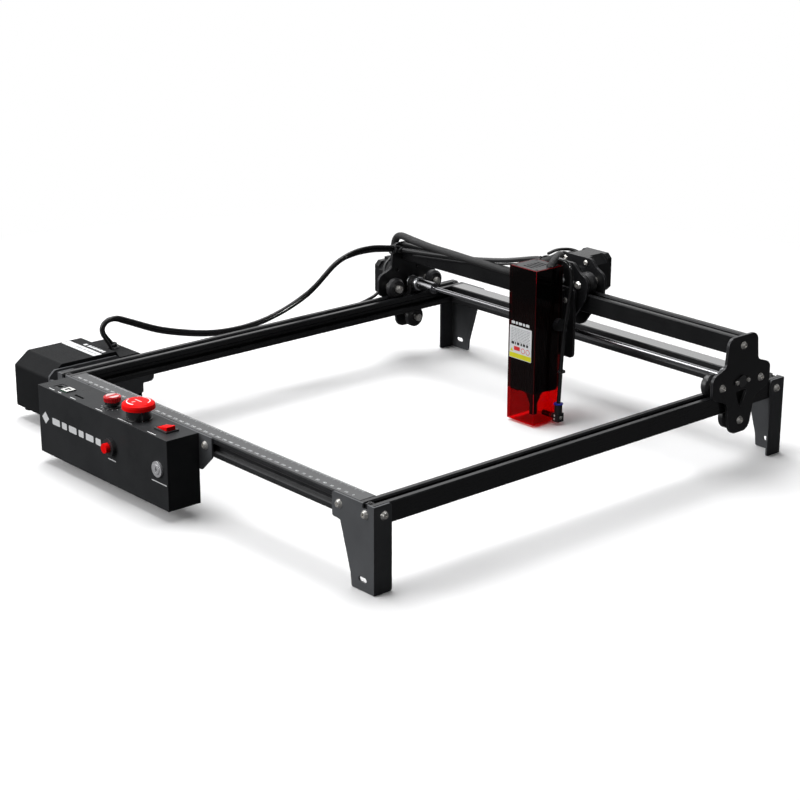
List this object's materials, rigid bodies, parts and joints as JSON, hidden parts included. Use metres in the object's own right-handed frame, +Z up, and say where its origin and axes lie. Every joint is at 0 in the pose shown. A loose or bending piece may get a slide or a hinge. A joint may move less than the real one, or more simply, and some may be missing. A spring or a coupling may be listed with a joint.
{
  "type": "desktop laser cutter",
  "caption": "Open-frame desktop laser cutter: slotted rails on bent legs, a belt-driven gantry, a lifting laser head in a red shield, a control box and an air pump.",
  "frame": {"origin": "centre of the bounding box footprint, on the plane the legs stand on", "axes": "+X to the right along the front rail, +Y from the front rail to the rear rail, +Z up"},
  "size_m": [0.6302, 0.6122, 0.1895],
  "materials": {
    "rail_black": "black anodised extrusion",
    "sheet_black": "fine matt black powder coat",
    "plate_black": "black anodised plate",
    "screw_steel": "bright zinc plated",
    "rod_chrome": "ground and plated",
    "pulley_alu": "turned",
    "belt_rubber": "toothed rubber",
    "wheel_pom": "turned polymer",
    "motor_black": "satin black",
    "box_black": "matt black sheet",
    "pcb_green": "soldermask",
    "plastic_black": "moulded",
    "plastic_red": "moulded red",
    "acrylic_red": "clear red acrylic",
    "heatsink_black": "black anodised fins",
    "pump_body": "moulded grained",
    "pump_core": "zinc",
    "hose_black": "glossy tube",
    "sleeve_black": "braided sleeve",
    "brass": "turned",
    "key_steel": "plated"
  },
  "bodies": {
    "base": {"front_rail": "rail_black", "rear_rail": "rail_black", "left_rail": "rail_black", "right_rail": "rail_black", "leg_front_left": "sheet_black", "leg_front_right": "sheet_black", "leg_rear_left": "sheet_black", "leg_rear_right": "sheet_black", "frame_screws": "screw_steel", "y_belts": "belt_rubber", "control_box_shell": "box_black", "control_box_back": "sheet_black", "control_board": "pcb_green", "stop_switch_body": "plastic_black", "rocker_housing": "plastic_black", "button_housing": "plastic_black", "key_lock_body": "key_steel", "pump_case": "pump_body", "pump_motor": "pump_core", "pump_bracket": "sheet_black", "air_hose": "hose_black"},
    "rocker_body": {"rocker": "plastic_red"},
    "stop_plunger_body": {"stop_plunger": "plastic_black"},
    "stop_cap_body": {"stop_cap": "plastic_red"},
    "knob_body": {"power_knob": "plastic_red"},
    "button_body": {"start_button": "plastic_red"},
    "key_body": {"key_barrel": "key_steel"},
    "gantry": {"gantry_beam": "rail_black", "gantry_plate_left": "plate_black", "gantry_plate_right": "plate_black", "gantry_fasteners": "screw_steel", "rod_bearing": "pulley_alu", "x_belt": "belt_rubber", "y_motor": "motor_black", "cable_sleeve": "sleeve_black"},
    "y_shaft": {"sync_rod": "rod_chrome", "y_pulleys": "pulley_alu"},
    "carriage": {"carriage_plate_front": "plate_black", "carriage_plate_rear": "plate_black", "carriage_fasteners": "screw_steel", "x_motor": "motor_black", "z_guide_plate": "plate_black"},
    "x_shaft": {"x_pulley": "pulley_alu"},
    "head": {"head_shield": "acrylic_red", "head_housing": "heatsink_black", "fan_housing": "plastic_black", "laser_module": "brass", "air_fitting": "plastic_black", "head_air_tube": "hose_black"},
    "fan": {"fan_rotor": "plastic_black"},
    "focus_screw": {"focus_knob": "plastic_black"},
    "left_wheel_front_body": {"left_wheel_front": "wheel_pom"},
    "left_wheel_rear_body": {"left_wheel_rear": "wheel_pom"},
    "left_wheel_lower_body": {"left_wheel_lower": "wheel_pom"},
    "right_wheel_front_body": {"right_wheel_front": "wheel_pom"},
    "right_wheel_rear_body": {"right_wheel_rear": "wheel_pom"},
    "right_wheel_lower_body": {"right_wheel_lower": "wheel_pom"},
    "carriage_wheel_left_body": {"carriage_wheel_left": "wheel_pom"},
    "carriage_wheel_right_body": {"carriage_wheel_right": "wheel_pom"},
    "carriage_wheel_lower_body": {"carriage_wheel_lower": "wheel_pom"}
  },
  "joints": [
    {"name": "gantry_slide", "type": "slide", "parent": "base", "child": "gantry", "axis": [0, 1, 0], "range_m": [-0.393, 0.009], "deforming": ["air_hose"]},
    {"name": "carriage_slide", "type": "slide", "parent": "gantry", "child": "carriage", "axis": [1, 0, 0], "range_m": [-0.203, 0.18], "deforming": ["cable_sleeve"]},
    {"name": "head_slide", "type": "slide", "parent": "carriage", "child": "head", "axis": [0, 0, 1], "range_m": [0, 0.04]},
    {"name": "rocker_tilt", "type": "hinge", "parent": "base", "child": "rocker_body", "pos_m": [0.0244, -0.278, 0.0805], "axis": [0, 1, 0], "range_deg": [0, 12]},
    {"name": "stop_press", "type": "slide", "parent": "base", "child": "stop_plunger_body", "axis": [0, 0, -1], "range_m": [0, 0.004]},
    {"name": "stop_twist", "type": "hinge", "parent": "stop_plunger_body", "child": "stop_cap_body", "pos_m": [-0.0211, -0.2785, 0.1], "axis": [0, 0, -1], "range_deg": [0, 45]},
    {"name": "knob_turn", "type": "hinge", "parent": "base", "child": "knob_body", "pos_m": [-0.0671, -0.2785, 0.09], "axis": [0, 0, 1], "range_deg": [-135, 135]},
    {"name": "button_press", "type": "slide", "parent": "base", "child": "button_body", "axis": [0, 1, 0], "range_m": [0, 0.003]},
    {"name": "key_turn", "type": "hinge", "parent": "base", "child": "key_body", "pos_m": [0.0361, -0.2895, 0.0514], "axis": [0, 1, 0], "range_deg": [0, 90]},
    {"name": "y_shaft_spin", "type": "hinge", "parent": "gantry", "child": "y_shaft", "pos_m": [0.0644, 0.2295, 0.0955], "axis": [1, 0, 0], "continuous": true},
    {"name": "x_shaft_spin", "type": "hinge", "parent": "carriage", "child": "x_shaft", "pos_m": [0.0644, 0.2295, 0.1552], "axis": [0, 1, 0], "continuous": true},
    {"name": "fan_spin", "type": "hinge", "parent": "head", "child": "fan", "pos_m": [0.06515, 0.18, 0.15], "axis": [0, 0, 1], "continuous": true},
    {"name": "focus_turn", "type": "hinge", "parent": "head", "child": "focus_screw", "pos_m": [0.0859, 0.1935, 0.1115], "axis": [1, 0, 0], "range_deg": [-90, 90]},
    {"name": "left_wheel_front_spin", "type": "hinge", "parent": "gantry", "child": "left_wheel_front_body", "pos_m": [-0.1871, 0.1995, 0.0935], "axis": [1, 0, 0], "continuous": true},
    {"name": "left_wheel_rear_spin", "type": "hinge", "parent": "gantry", "child": "left_wheel_rear_body", "pos_m": [-0.1871, 0.2595, 0.0935], "axis": [1, 0, 0], "continuous": true},
    {"name": "left_wheel_lower_spin", "type": "hinge", "parent": "gantry", "child": "left_wheel_lower_body", "pos_m": [-0.1871, 0.2295, 0.0535], "axis": [1, 0, 0], "continuous": true},
    {"name": "right_wheel_front_spin", "type": "hinge", "parent": "gantry", "child": "right_wheel_front_body", "pos_m": [0.2969, 0.1995, 0.0935], "axis": [1, 0, 0], "continuous": true},
    {"name": "right_wheel_rear_spin", "type": "hinge", "parent": "gantry", "child": "right_wheel_rear_body", "pos_m": [0.2969, 0.2595, 0.0935], "axis": [1, 0, 0], "continuous": true},
    {"name": "right_wheel_lower_spin", "type": "hinge", "parent": "gantry", "child": "right_wheel_lower_body", "pos_m": [0.2969, 0.2295, 0.0535], "axis": [1, 0, 0], "continuous": true},
    {"name": "carriage_wheel_left_spin", "type": "hinge", "parent": "carriage", "child": "carriage_wheel_left_body", "pos_m": [0.0344, 0.2295, 0.1533], "axis": [0, 1, 0], "continuous": true},
    {"name": "carriage_wheel_right_spin", "type": "hinge", "parent": "carriage", "child": "carriage_wheel_right_body", "pos_m": [0.0944, 0.2295, 0.1533], "axis": [0, 1, 0], "continuous": true},
    {"name": "carriage_wheel_lower_spin", "type": "hinge", "parent": "carriage", "child": "carriage_wheel_lower_body", "pos_m": [0.0644, 0.2295, 0.1132], "axis": [0, 1, 0], "continuous": true}
  ],
  "couplings": [
    {"joint": "y_shaft_spin", "follows": "gantry_slide", "rad_per_m": 156.99},
    {"joint": "x_shaft_spin", "follows": "carriage_slide", "rad_per_m": -156.99},
    {"joint": "left_wheel_front_spin", "follows": "gantry_slide", "rad_per_m": -100},
    {"joint": "left_wheel_rear_spin", "follows": "gantry_slide", "rad_per_m": -100},
    {"joint": "left_wheel_lower_spin", "follows": "gantry_slide", "rad_per_m": 100},
    {"joint": "right_wheel_front_spin", "follows": "gantry_slide", "rad_per_m": -100},
    {"joint": "right_wheel_rear_spin", "follows": "gantry_slide", "rad_per_m": -100},
    {"joint": "right_wheel_lower_spin", "follows": "gantry_slide", "rad_per_m": 100},
    {"joint": "carriage_wheel_left_spin", "follows": "carriage_slide", "rad_per_m": 100},
    {"joint": "carriage_wheel_right_spin", "follows": "carriage_slide", "rad_per_m": 100},
    {"joint": "carriage_wheel_lower_spin", "follows": "carriage_slide", "rad_per_m": -100}
  ]
}
